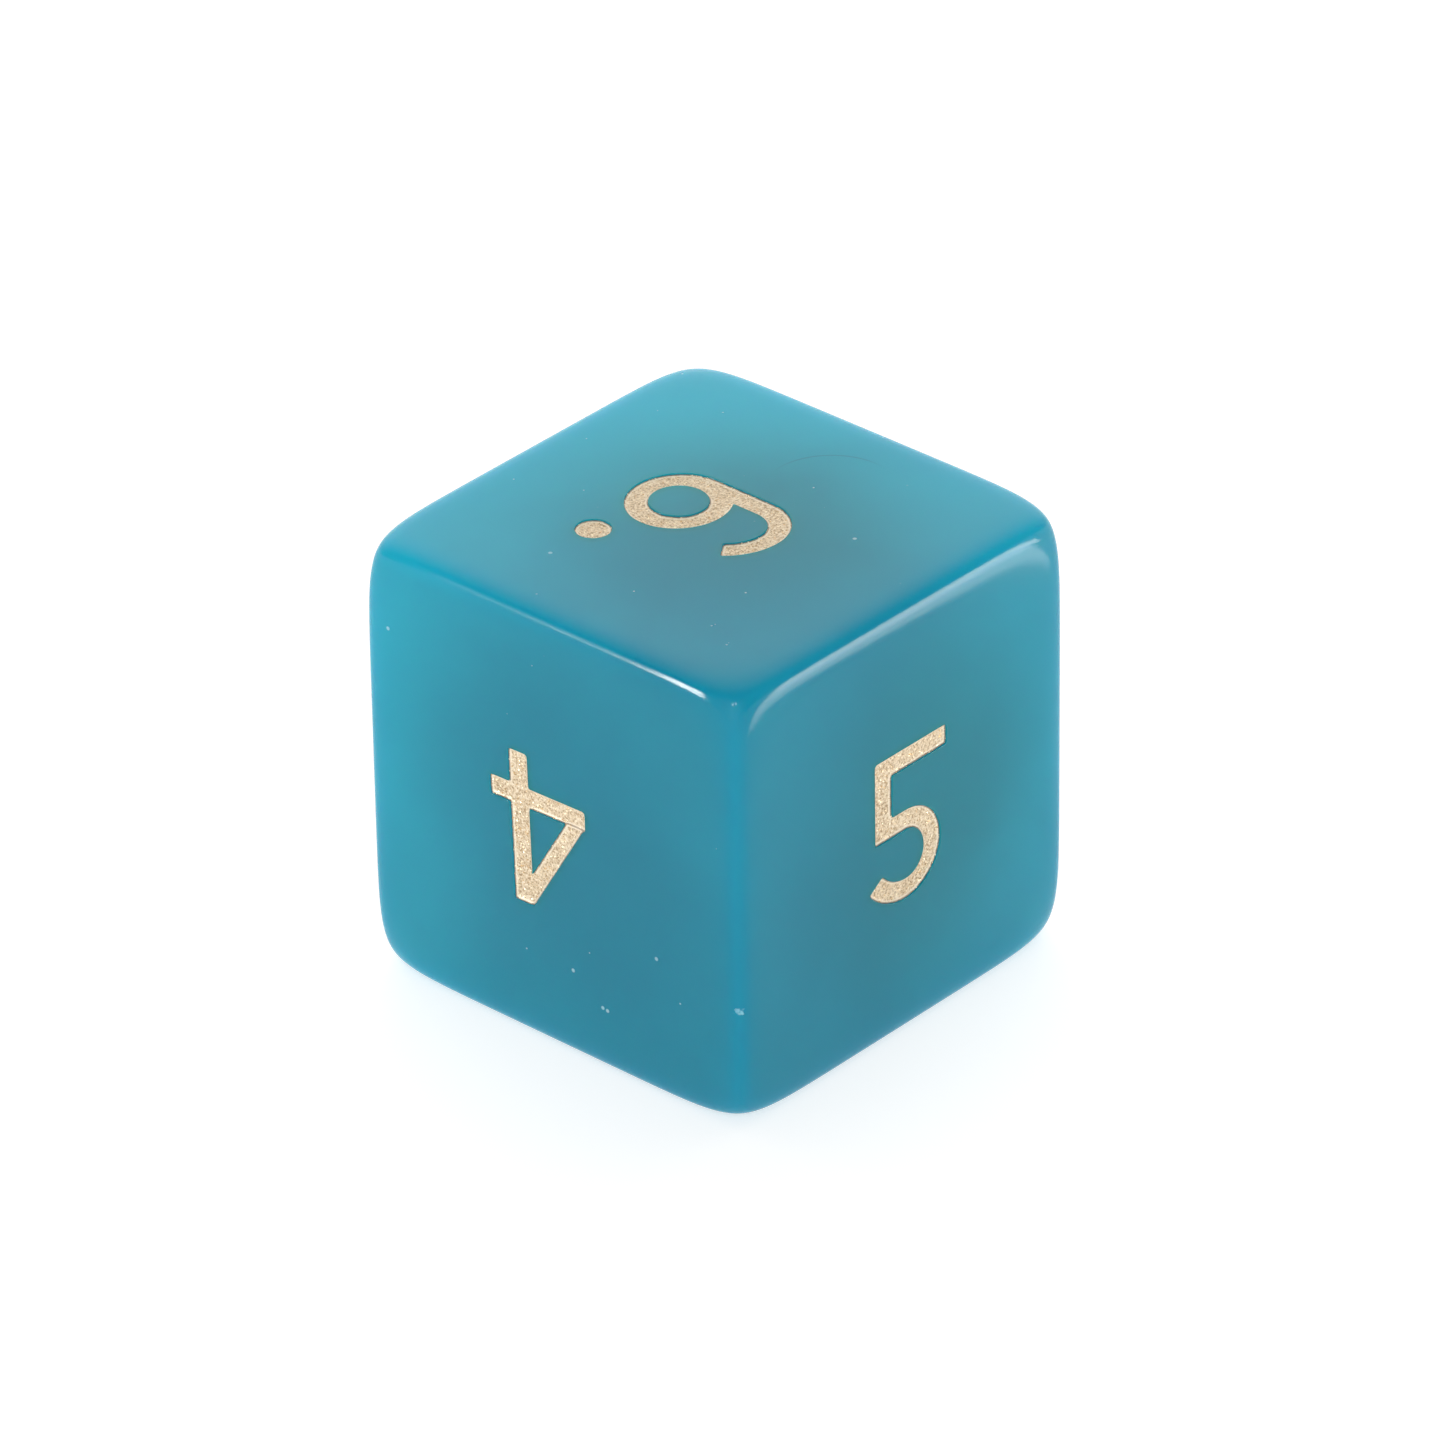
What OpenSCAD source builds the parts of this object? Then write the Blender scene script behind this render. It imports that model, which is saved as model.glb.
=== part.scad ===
// Six-sided numeral gaming die: a solid rounded cube with engraved, paint-filled numerals.
// The origin is the cube's centre. +Z is the numbered face "6.", +X is "5" and -Y is "4".

/* [Body] */
// Distance across two opposite flat faces
die_size = 16; // [12:0.1:25]
// Radius along the twelve edges
edge_r = 0.72; // [0.4:0.01:1]
// Radius at the eight corners
corner_r = 1.28; // [1.05:0.01:1.8]
// How far back from a corner its softer rounding starts along the edges
corner_reach = 2.7; // [2:0.1:4]

/* [Engraving] */
// Depth of the numerals below the flat faces
engrave_depth = 0.25; // [0.18:0.01:0.6]
// Thickness of the paint on the floor of a numeral
paint_t = 0.13; // [0.06:0.01:0.16]

/* [Strokes] */
// Height of the numerals 1 to 5
numeral_h = 5.55; // [4.4:0.05:7]
// Width of the upright strokes
upright_w = 0.8; // [0.5:0.01:1]
// Width of the level strokes
level_w = 0.72; // [0.5:0.01:0.9]
// Radius of the open hooks, at the middle of the stroke
hook_r = 1.8; // [1.5:0.05:2.2]
// Angle that an open hook turns through, from the top or bottom of its bowl
hook_sweep = 53; // [30:1:70]

/* [Numeral 1] */
// How far the flag reaches out from the middle of the stem
one_flag_w = 1.35; // [0.8:0.05:1.8]
// How far the flag falls over that reach
one_flag_drop = 1.05; // [0.5:0.05:1.4]
// Height of the flag's stroke
one_flag_t = 0.85; // [0.5:0.05:1.1]

/* [Numeral 2] */
// Length of the foot
two_w = 3.45; // [3:0.05:4]
// Width across the bowl
two_bowl_w = 3.36; // [2.8:0.02:3.8]

/* [Numeral 3] */
// Width across the upper bowl
three_top_w = 3.1; // [2.6:0.05:3.4]
// Length of the bar between the bowls
three_bar_w = 0.45; // [0.2:0.05:1]

/* [Numeral 4] */
// Length of the crossbar
four_w = 4.05; // [3.2:0.05:4.6]
// Height of the crossbar's middle above the foot
four_bar_rise = 1.6; // [1.1:0.05:2]
// How far the stem stands to the right of the crossbar's middle
four_stem_x = 0.78; // [0.4:0.02:1.1]
// Level width of the slanting stroke
four_slant_w = 0.74; // [0.5:0.02:0.8]
// How far the slanting stroke stands in from the crossbar's end
four_slant_inset = 0.1; // [0:0.02:0.3]
// Small turn of the 4 on its face, in degrees
four_tilt = 1.6; // [-3:0.1:3]

/* [Numeral 5] */
// Width across the bowl
five_bowl_w = 3.36; // [2.8:0.02:3.8]
// Height of the bowl
five_bowl_h = 3.26; // [2.8:0.02:3.6]
// How far the stem's outer side stands left of the bowl's middle
five_stem_x = 1.46; // [1.2:0.02:1.7]
// How far the top bar reaches right of the bowl's middle
five_bar_x = 1.98; // [1.5:0.02:2.2]

/* [Numeral 6] */
// Height of the 6
six_h = 5.9; // [5.2:0.05:7]
// Width across the bowl
six_w = 3.58; // [3.1:0.02:4]
// Height of the bowl
six_bowl_h = 3.44; // [3:0.02:3.8]
// Diameter of the dot
dot_d = 1.19; // [0.8:0.01:1.4]
// Clear gap between the bowl and the dot
dot_gap = 0.7; // [0.4:0.05:1.2]
// Height of the dot's underside above the foot of the 6
dot_rise = 0.24; // [0:0.02:0.6]

/* [Places] */
// Middle of the 1 on its face, right and up
one_at = [0.25, -0.1]; // [-1:0.01:1]
// Middle of the 2 on its face, right and up
two_at = [0.1, -0.12]; // [-1:0.01:1]
// Middle of the 3 on its face, right and up
three_at = [-0.05, -0.14]; // [-1:0.01:1]
// Middle of the 4 on its face, right and up
four_at = [0.47, 0.17]; // [-1:0.01:1]
// Middle of the 5's bowl and half its height on its face, right and up
five_at = [0.02, -0.14]; // [-1:0.01:1]
// Middle of the 6 on its face, right and up
six_at = [-0.21, -0.44]; // [-1:0.01:1]

/* [Hidden] */

half = die_size / 2;
// Facets round each ball of the body's hull
ball_facets = 32;
// A faceted ball stands short of its radius by this factor, so its radius is divided by it
ball_fit = cos(180 / ball_facets);
// Facets round the dot
dot_facets = 64;
// Largest turn between two points of a curved stroke, in degrees
arc_step = 7.5;
// How far a cutting shape runs past the surface it opens
cut_over = 0.5;
// Overlap that joins one straight stroke of a numeral to the next
join = 0.05;
// Overlap that joins one curved stroke to the next, in degrees
join_turn = 2;
body_colour = [0.22, 0.56, 0.66, 0.85];
paint_colour = [0.87, 0.75, 0.6];

// The turn that takes +Z to each face, with the numeral's up and right along the cube's axes
function face_turn(n) =
    n == 1 ? [180, 0, 0] :
    n == 2 ? [90, 0, -90] :
    n == 3 ? [90, 0, 180] :
    n == 4 ? [90, 0, 0] :
    n == 5 ? [90, 0, 90] : [0, 0, 0];

// How far each numeral is then turned on its own face
function face_spin(n) =
    n == 2 ? -90 :
    n == 3 ? 90 :
    n == 4 ? 180 + four_tilt :
    n == 6 ? -90 : 0;

function oval_point(c, rx, ry, a) = [c[0] + rx * cos(a), c[1] + ry * sin(a)];

// Angle where a line from q touches a circle about c, on the side that lies anticlockwise of q
function touch_angle(c, r, q) = atan2(q[1] - c[1], q[0] - c[0]) + acos(r / norm(q - c));

function arc_angles(from, to) =
    let (steps = ceil((to - from) / arc_step))
    [for (i = [0 : steps]) from + (to - from) * i / steps];

// Points along one side of a curved stroke: side is 1 for its outer edge and -1 for its inner edge
function arc_edge(c, rx, ry, angles, side) =
    [for (a = angles) oval_point(c, rx + side * upright_w / 2, ry + side * level_w / 2, a)];

function reversed(points) = [for (i = [len(points) - 1 : -1 : 0]) points[i]];

// Curved stroke whose middle follows an oval, from one angle to a larger one
module arc_stroke(c, rx, ry, from, to) {
    angles = arc_angles(from, to);
    polygon(concat(arc_edge(c, rx, ry, angles, 1), reversed(arc_edge(c, rx, ry, angles, -1))));
}

// Closed oval stroke
module ring_stroke(c, rx, ry) {
    angles = arc_angles(0, 360 - arc_step);
    difference() {
        polygon(arc_edge(c, rx, ry, angles, 1));
        polygon(arc_edge(c, rx, ry, angles, -1));
    }
}

// Upright stroke with its middle at x
module upright_stroke(x, low, high) {
    translate([x - upright_w / 2, low]) square([upright_w, high - low]);
}

// Level stroke with its middle at y
module level_stroke(left, right, y) {
    translate([left, y - level_w / 2]) square([right - left, level_w]);
}

// Right-hand bowl with an open hook at its foot, as on a 3 and a 5
module open_bowl(c, rx, ry) {
    arc_stroke(c, rx, ry, -90, 90);
    arc_stroke([c[0], c[1] - ry + hook_r], hook_r, hook_r, 270 - hook_sweep, 270 + join_turn);
}

module glyph_1() {
    top = numeral_h / 2;
    upright_stroke(0, -top, top);
    polygon([
        [0, top],
        [-one_flag_w, top - one_flag_drop],
        [-one_flag_w, top - one_flag_drop - one_flag_t],
        [0, top - one_flag_t]
    ]);
}

module glyph_2() {
    foot = -numeral_h / 2;
    r_in = two_bowl_w / 2 - upright_w;
    rx = r_in + upright_w / 2;
    ry = r_in + level_w / 2;
    c = [0, -foot - level_w - r_in];
    heel = [-two_w / 2, foot + level_w];
    a = touch_angle(c, r_in, heel);
    inner = oval_point(c, r_in, r_in, a);
    outer = oval_point(c, r_in + upright_w, r_in + level_w, a);
    slant = (inner[0] - heel[0]) / (inner[1] - heel[1]);
    arc_stroke(c, rx, ry, a, 90);
    arc_stroke([0, c[1] + ry - hook_r], hook_r, hook_r, 90 - join_turn, 90 + hook_sweep);
    polygon([
        outer,
        inner,
        heel,
        [heel[0], foot + level_w / 2],
        [outer[0] - slant * (outer[1] - heel[1]), foot + level_w / 2],
        [outer[0] - slant * (outer[1] - heel[1]), heel[1]]
    ]);
    level_stroke(-two_w / 2, two_w / 2, foot + level_w / 2);
}

module glyph_3() {
    foot = -numeral_h / 2;
    low_ry = (five_bowl_h - level_w) / 2;
    top_ry = (numeral_h - five_bowl_h) / 2;
    waist = foot + five_bowl_h - level_w / 2;
    open_bowl([0, waist - low_ry], (five_bowl_w - upright_w) / 2, low_ry);
    mirror([0, 1]) open_bowl([0, -waist - top_ry], (three_top_w - upright_w) / 2, top_ry);
    level_stroke(-three_bar_w, join, waist);
}

module glyph_4() {
    foot = -numeral_h / 2;
    bar_y = foot + four_bar_rise;
    slant_x = -four_w / 2 + four_slant_inset;
    stem_side = four_stem_x - upright_w / 2;
    upright_stroke(four_stem_x, foot, -foot);
    level_stroke(-four_w / 2, four_w / 2, bar_y);
    polygon([
        [stem_side, -foot],
        [slant_x, bar_y + level_w / 2],
        [slant_x, bar_y],
        [slant_x + four_slant_w, bar_y],
        [slant_x + four_slant_w, bar_y + level_w / 2],
        [stem_side + four_slant_w, -foot]
    ]);
}

module glyph_5() {
    foot = -numeral_h / 2;
    ry = (five_bowl_h - level_w) / 2;
    shelf = foot + five_bowl_h - level_w / 2;
    open_bowl([0, shelf - ry], (five_bowl_w - upright_w) / 2, ry);
    level_stroke(-five_stem_x, join, shelf);
    upright_stroke(upright_w / 2 - five_stem_x, shelf - level_w / 2, -foot);
    level_stroke(-five_stem_x, five_bar_x, -foot - level_w / 2);
}

module glyph_6() {
    rx = (six_w - upright_w) / 2;
    ry = (six_bowl_h - level_w) / 2;
    foot = -six_h / 2;
    bowl_y = foot + six_bowl_h / 2;
    shoulder_y = -foot - level_w / 2 - ry;
    ring_stroke([0, bowl_y], rx, ry);
    upright_stroke(-rx, bowl_y, shoulder_y);
    arc_stroke([0, shoulder_y], rx, ry, 90, 180);
    arc_stroke([0, shoulder_y + ry - hook_r], hook_r, hook_r, 90 - hook_sweep, 90 + join_turn);
}

module dot_6() {
    x = six_w / 2 + dot_gap + dot_d / 2;
    y = -six_h / 2 + dot_rise + dot_d / 2;
    translate([x, y]) circle(d = dot_d, $fn = dot_facets);
}

// Extrudes a numeral's outline on its own face, from one depth below the flat up to a height over it
module on_face(n, at, depth, height) {
    rotate(face_turn(n))
        translate([0, 0, half - depth])
            rotate([0, 0, face_spin(n)])
                translate([at[0], at[1], 0])
                    linear_extrude(height) children();
}

module recess(n, at) {
    on_face(n, at, engrave_depth, engrave_depth + cut_over) children();
}

module paint(n, at) {
    color(paint_colour) on_face(n, at, engrave_depth, paint_t) children();
}

module ball(r, at) {
    translate(at) sphere(r = r / ball_fit, $fn = ball_facets);
}

// Cube with rounded edges that widen into rounder corners
module rounded_cube() {
    tip = half - corner_r;
    side = half - edge_r;
    back = half - corner_reach;
    hull() {
        for (x = [-1, 1], y = [-1, 1], z = [-1, 1]) {
            ball(corner_r, [x * tip, y * tip, z * tip]);
            ball(edge_r, [x * back, y * side, z * side]);
            ball(edge_r, [x * side, y * back, z * side]);
            ball(edge_r, [x * side, y * side, z * back]);
        }
    }
}

module die_body() {
    color(body_colour) difference() {
        rounded_cube();
        recess(1, one_at) glyph_1();
        recess(2, two_at) glyph_2();
        recess(3, three_at) glyph_3();
        recess(4, four_at) glyph_4();
        recess(5, five_at) glyph_5();
        recess(6, six_at) glyph_6();
        recess(6, six_at) dot_6();
    }
}

module numeral_1_paint() {
    paint(1, one_at) glyph_1();
}

module numeral_2_paint() {
    paint(2, two_at) glyph_2();
}

module numeral_3_paint() {
    paint(3, three_at) glyph_3();
}

module numeral_4_paint() {
    paint(4, four_at) glyph_4();
}

module numeral_5_paint() {
    paint(5, five_at) glyph_5();
}

module numeral_6_paint() {
    paint(6, six_at) glyph_6();
}

module numeral_6_dot_paint() {
    paint(6, six_at) dot_6();
}

die_body();
numeral_1_paint();
numeral_2_paint();
numeral_3_paint();
numeral_4_paint();
numeral_5_paint();
numeral_6_paint();
numeral_6_dot_paint();
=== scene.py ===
"""Looks of a rounded six-sided numeral die: a cloudy teal glass cube with gold-filled engraved numerals."""

import logging
import math
from collections.abc import Callable, Iterable, Sequence
from dataclasses import dataclass
from enum import Enum

import bpy
import numpy as np
from mathutils import Euler, Matrix, Vector, noise
from mathutils.geometry import delaunay_2d_cdt


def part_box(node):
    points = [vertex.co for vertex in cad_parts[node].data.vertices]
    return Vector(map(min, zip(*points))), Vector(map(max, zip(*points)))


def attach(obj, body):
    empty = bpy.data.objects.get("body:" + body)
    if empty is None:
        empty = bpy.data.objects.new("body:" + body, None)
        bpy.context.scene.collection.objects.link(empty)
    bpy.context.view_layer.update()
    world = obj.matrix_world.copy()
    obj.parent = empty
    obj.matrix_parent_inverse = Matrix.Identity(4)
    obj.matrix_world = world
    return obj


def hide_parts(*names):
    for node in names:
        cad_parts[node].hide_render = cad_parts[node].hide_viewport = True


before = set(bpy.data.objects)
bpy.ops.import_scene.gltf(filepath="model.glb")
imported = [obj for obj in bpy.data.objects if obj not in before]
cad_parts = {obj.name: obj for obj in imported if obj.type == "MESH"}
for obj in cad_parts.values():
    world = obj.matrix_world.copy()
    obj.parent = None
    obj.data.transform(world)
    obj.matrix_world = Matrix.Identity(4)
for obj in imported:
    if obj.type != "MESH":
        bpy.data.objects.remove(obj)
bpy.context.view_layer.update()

LOG = logging.getLogger("die")
MM = 0.001
BODY = "root"
RIM = "rim"
WHITE = (1.0, 1.0, 1.0, 1.0)
SENSOR_WIDTH = 36.0
MIX_FIRST, MIX_SECOND, MIX_RESULT = 6, 7, 2
FLOAT_MIN, FLOAT_MAX = 2, 3
CDT_ALL, CDT_INSIDE = 0, 1
CORNER_GAP, OUTLINE_GAP = 1e-6, 1e-5
TINY, STRAIGHT = 1e-12, 1e-6
FEWEST_POINTS, EASE_STEPS = 12, 8
BEND_SHARE = 0.6

Array = np.ndarray
Material = bpy.types.Material
Mesh = bpy.types.Mesh
Piece = bpy.types.Object
Socket = bpy.types.NodeSocket
Colour = tuple[float, float, float]
Point = tuple[float, float]
Point3 = tuple[float, float, float]


def add_object(name: str, data: bpy.types.ID) -> Piece:
    """Put an object into the scene.

    Args:
        name: the object's name.
        data: its mesh, light or camera.

    Returns:
        The object.
    """
    piece = bpy.data.objects.new(name, data)
    bpy.context.scene.collection.objects.link(piece)
    return piece


def aim(azimuth: float, elevation: float) -> Vector:
    """Return the direction at these angles in degrees, with azimuth 0 along +X."""
    a, e = math.radians(azimuth), math.radians(elevation)
    return Vector((math.cos(a) * math.cos(e), math.sin(a) * math.cos(e), math.sin(e)))


def runs(groups: Iterable[Sequence]) -> list[range]:
    """Return the range of numbers that each group takes when the groups are laid end to end."""
    ends = np.cumsum([0, *map(len, groups)])
    return [range(a, b) for a, b in zip(ends, ends[1:])]


# ---------------------------------------------------------------- node graphs


def math_method(operation: str, swapped: bool = False) -> Callable[["Wire", "Wire | float"], "Wire"]:
    """Make a method that joins a wire and another number in one Math node.

    Args:
        operation: the node's operation.
        swapped: True to put the other number first.

    Returns:
        The method.
    """

    def method(self: "Wire", other: "Wire | float") -> "Wire":
        """Return the two numbers joined."""
        return self.calculate(operation, *((other, self) if swapped else (self, other)))

    return method


class Wire:
    """A number on a node socket, used in ordinary Python expressions."""

    def __init__(self, graph: "NodeGraph", socket: Socket) -> None:
        """Keep the graph and the socket that carries the number."""
        self.graph = graph
        self.socket = socket

    def calculate(self, operation: str, *values: "Wire | float") -> "Wire":
        """Add one Math node and return its result."""
        node = self.graph.node("ShaderNodeMath", {"operation": operation}, dict(enumerate(values)))
        return Wire(self.graph, node.outputs[0])

    __add__ = __radd__ = math_method("ADD")
    __sub__ = math_method("SUBTRACT")
    __rsub__ = math_method("SUBTRACT", swapped=True)
    __mul__ = __rmul__ = math_method("MULTIPLY")
    __truediv__ = math_method("DIVIDE")
    __rtruediv__ = math_method("DIVIDE", swapped=True)
    __pow__ = math_method("POWER")
    most = math_method("MAXIMUM")

    def __abs__(self) -> "Wire":
        """Return the size of the number without its sign."""
        return self.calculate("ABSOLUTE", self)

    def sine(self) -> "Wire":
        """Return the sine of an angle in radians."""
        return self.calculate("SINE", self)

    def step(self, low: float, high: float) -> "Wire":
        """Return a smooth step that runs from 0 at low to 1 at high.

        Args:
            low: value at which the step starts.
            high: value at which it ends, which may be below low.

        Returns:
            The step.
        """
        settings = {"interpolation_type": "SMOOTHSTEP"}
        node = self.graph.node("ShaderNodeMapRange", settings, {"Value": self, "From Min": low, "From Max": high})
        return Wire(self.graph, node.outputs["Result"])


class NodeGraph:
    """A node tree under construction."""

    def __init__(self, tree: bpy.types.NodeTree) -> None:
        """Empty the tree and keep it."""
        self.tree = tree
        tree.nodes.clear()

    def node(self, kind: str, settings: dict | None = None, inputs: dict | None = None) -> bpy.types.Node:
        """Add a node.

        Args:
            kind: the node's type name.
            settings: properties, set before the sockets are touched.
            inputs: socket name or number to a value, a wire, a socket, or a list of sockets to join.

        Returns:
            The new node.
        """
        node = self.tree.nodes.new(kind)
        for name, value in (settings or {}).items():
            setattr(node, name, value)
        for key, value in (inputs or {}).items():
            socket = node.inputs[key]
            for one in value if isinstance(value, list) else [value]:
                source = one.socket if isinstance(one, Wire) else one
                if isinstance(source, Socket):
                    self.tree.links.new(source, socket)
                else:
                    socket.default_value = source
        return node

    def wire(self, socket: Socket) -> Wire:
        """Return a socket as a number for expressions."""
        return Wire(self, socket)

    def axes(self, vector: Socket) -> tuple[Wire, Wire, Wire]:
        """Return a vector's three parts."""
        parts = self.node("ShaderNodeSeparateXYZ", {}, {0: vector}).outputs
        return self.wire(parts[0]), self.wire(parts[1]), self.wire(parts[2])


class ShaderGraph(NodeGraph):
    """The node tree of one material, with its pattern helpers."""

    def __init__(self, name: str) -> None:
        """Start a material.

        Args:
            name: the material's name.
        """
        self.material = bpy.data.materials.new(name)
        self.material.use_nodes = True
        super().__init__(self.material.node_tree)
        self.place = self.node("ShaderNodeTexCoord").outputs["Object"]

    def noise(self, size: float, detail: float = 2.0, rough: float = 0.5, warp: float = 0.0) -> Wire:
        """Return cloudy noise.

        Args:
            size: width of one cloud, in metres.
            detail: number of finer layers.
            rough: strength of the finer layers.
            warp: how far the pattern is twisted.

        Returns:
            Noise round 0.5.
        """
        values = {"Vector": self.place, "Scale": 1.0 / size, "Detail": detail, "Roughness": rough, "Distortion": warp}
        return self.wire(self.node("ShaderNodeTexNoise", {}, values).outputs["Fac"])

    def cells(self, size: float) -> tuple[Wire, Wire]:
        """Scatter points and measure from them.

        Args:
            size: mean distance between points, in metres.

        Returns:
            The distance to the nearest point, in cells, and that point's random number.
        """
        values = {"Vector": self.place, "Scale": 1.0 / size}
        node = self.node("ShaderNodeTexVoronoi", {}, values)
        return self.wire(node.outputs["Distance"]), self.axes(node.outputs["Color"])[0]

    def distance(self, point: Vector) -> Wire:
        """Return the distance to a point, in metres."""
        node = self.node("ShaderNodeVectorMath", {"operation": "DISTANCE"}, {0: self.place, 1: point})
        return self.wire(node.outputs["Value"])

    def mix(self, amount: Wire | float, first: object, second: object) -> Socket:
        """Return a colour between two colours.

        Args:
            amount: 0 for the first colour and 1 for the second.
            first: a colour or a colour socket.
            second: a colour or a colour socket.

        Returns:
            The mixed colour's socket.
        """
        pair = [(*one, 1.0) if isinstance(one, tuple) else one for one in (first, second)]
        inputs = {"Factor": amount, MIX_FIRST: pair[0], MIX_SECOND: pair[1]}
        return self.node("ShaderNodeMix", {"data_type": "RGBA"}, inputs).outputs[MIX_RESULT]

    def bump(self, height: Wire, depth: float) -> Socket:
        """Return a surface normal shaped by a height.

        Args:
            height: height pattern from 0 to 1.
            depth: height of the pattern's full range, in metres.

        Returns:
            The normal's socket.
        """
        return self.node("ShaderNodeBump", {}, {"Height": height, "Distance": depth}).outputs["Normal"]

    def surface(self, values: dict) -> Material:
        """End the material in one main shader.

        Args:
            values: the shader's socket names to their values or sources.

        Returns:
            The finished material.
        """
        shader = self.node("ShaderNodeBsdfPrincipled", {}, values)
        self.node("ShaderNodeOutputMaterial", {}, {"Surface": shader.outputs[0]})
        return self.material


# ------------------------------------------------------------------- finishes


@dataclass(frozen=True)
class Fade:
    """A smooth change from nothing at one value to a full strength at another."""

    start: float
    end: float
    gain: float = 1.0

    def of(self, value: Wire) -> Wire:
        """Return the strength at a value."""
        return value.step(self.start, self.end) * self.gain


@dataclass(frozen=True)
class CloudyGlass:
    """Polished, cloudy teal glass that glows a little from within, and whose colour carries painted light: lit and
    shaded copies of the teal, mixed to be brighter to the left, the back, the top and towards the edges.

    Fades along an axis and the places of the crack and the chip are in half sides, and the nicks' places are in mm.
    """

    half: float
    # Shaded and lit copies of the teal, for the rims and the cores of the faces; the painted light mixes between
    # them.
    shaded_rim_colour: Colour = (0.0, 0.203, 0.30)
    shaded_core_colour: Colour = (0.0, 0.188, 0.252)
    lit_rim_colour: Colour = (0.005, 0.44, 0.58)
    lit_core_colour: Colour = (0.004, 0.40, 0.50)
    # Distance from the middle: it sets the rim and core colours and a painted brightening towards the edges.
    rim: Fade = Fade(1.0, 1.42)
    core: Fade = Fade(-1.1, 0.3)
    # Painted light: brighter on the top, towards the left and towards the back, and rising with height.
    top: Fade = Fade(0.88, 1.0)
    left: Fade = Fade(0.3, -1.15, 0.33)
    back: Fade = Fade(-0.3, 1.15, 0.25)
    painted_light_side_share: float = 0.75
    painted_height_light_gain: float = 0.04
    painted_top_light_gain: float = 0.05
    painted_edge_light_gain: float = 0.10
    cloud_gain: float = 0.20
    painted_light_offset: float = -0.01
    # How far the painted light, together with the clouds' real tone, moves the colour from the shaded copy to the lit
    # copy.
    glow: Fade = Fade(0.0, 0.75)
    cloud_size: float = 5.0 * MM
    cloud_rough: float = 0.4
    cloud_warp: float = 0.4

    crack_colour: Colour = (0.0, 0.10, 0.15)
    crack_middle: Point3 = (0.19, 0.49, 1.0)
    crack_radius: float = 2.15 * MM
    crack_width: float = 0.05 * MM
    crack: Fade = Fade(1.0, 0.2, 0.35)
    crack_x: Fade = Fade(0.26, 0.10)
    crack_y: Fade = Fade(0.42, 0.62)

    mark_colour: Colour = (0.55, 0.80, 0.85)
    speck_spacing: float = 0.55 * MM
    speck: Fade = Fade(0.075, 0.045)
    speck_chance: Fade = Fade(0.90, 0.93)
    speck_gain: float = 0.5
    nick_radius: float = 0.07 * MM
    nick: Fade = Fade(1.2, 0.7)
    nicks: tuple[Point3, ...] = (
        (0.9, -8.0, -4.7),
        (2.15, -8.0, -5.6),
        (2.35, -8.0, -5.63),
        (4.5, -8.0, -2.8),
        (-6.8, -8.0, 5.0),
        (-2.55, -4.9, 8.0),
        (4.2, 2.0, 8.0),
    )
    chip_middle: Point3 = (0.965, -0.965, -0.44)
    chip_radius: float = 0.22 * MM
    chip_ragged_size: float = 0.12 * MM
    chip_ragged: float = 1.2
    chip: Fade = Fade(1.5, 1.1)
    chip_gain: float = 0.45
    chip_depth: float = 2.0

    grain_size: float = 0.16 * MM
    grain_depth: float = 0.35
    pit_depth: float = 1.6
    pit_x: Fade = Fade(-0.95, -0.2)
    pit_y: Fade = Fade(-0.96, -0.995)
    pit_z: Fade = Fade(0.05, -0.6)
    bump_depth: float = 0.004 * MM

    roughness: float = 0.1
    grain_roughness: float = 0.06
    mark_roughness: float = 0.4
    ior: float = 1.5
    mirror_level: float = 0.25
    glow_radius: Point3 = (0.15, 0.7, 1.0)
    glow_scale: float = 1.8 * MM

    def tint(self, g: ShaderGraph, x: Wire, y: Wire, z: Wire) -> Socket:
        """Colour the clear glass: darker in the core of each face, with painted light that makes it brighter to the
        left, the back, the top and towards the edges.

        Args:
            g: the material's graph.
            x: place along X, in half sides.
            y: place along Y, in half sides.
            z: place along Z, in half sides.

        Returns:
            The colour's socket.
        """
        rim = self.rim.of(g.distance(Vector()) / self.half)
        clouds = g.noise(self.cloud_size, rough=self.cloud_rough, warp=self.cloud_warp)
        top = self.top.of(z)
        # Painted light: brighter towards the left and the back, and on the top.
        lean = self.left.of(x) + self.back.of(y)
        glow = lean * (top * (1 - self.painted_light_side_share) + self.painted_light_side_share) + z * self.painted_height_light_gain + top * self.painted_top_light_gain
        glow = glow + rim * self.painted_edge_light_gain + clouds * self.cloud_gain + self.painted_light_offset
        core = (1 - rim) * self.core.of(y)
        # Mix the shaded and lit copies of the teal by the painted light.
        shaded_tone = g.mix(core, self.shaded_rim_colour, self.shaded_core_colour)
        bright = g.mix(core, self.lit_rim_colour, self.lit_core_colour)
        colour = g.mix(self.glow.of(glow), shaded_tone, bright)
        ring = abs(g.distance(Vector(self.crack_middle) * self.half) - self.crack_radius) / self.crack_width
        crack = self.crack.of(ring) * self.crack_y.of(y) * self.crack_x.of(x)
        return g.mix(crack, colour, self.crack_colour)

    def specks(self, g: ShaderGraph) -> Wire:
        """Mark fine specks all over and the nicks.

        Args:
            g: the material's graph.

        Returns:
            The mask.
        """
        near, chance = g.cells(self.speck_spacing)
        mask = self.speck.of(near) * self.speck_chance.of(chance)
        for nick in self.nicks:
            mask = mask.most(self.nick.of(g.distance(Vector(nick) * MM) / self.nick_radius))
        return mask

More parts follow.
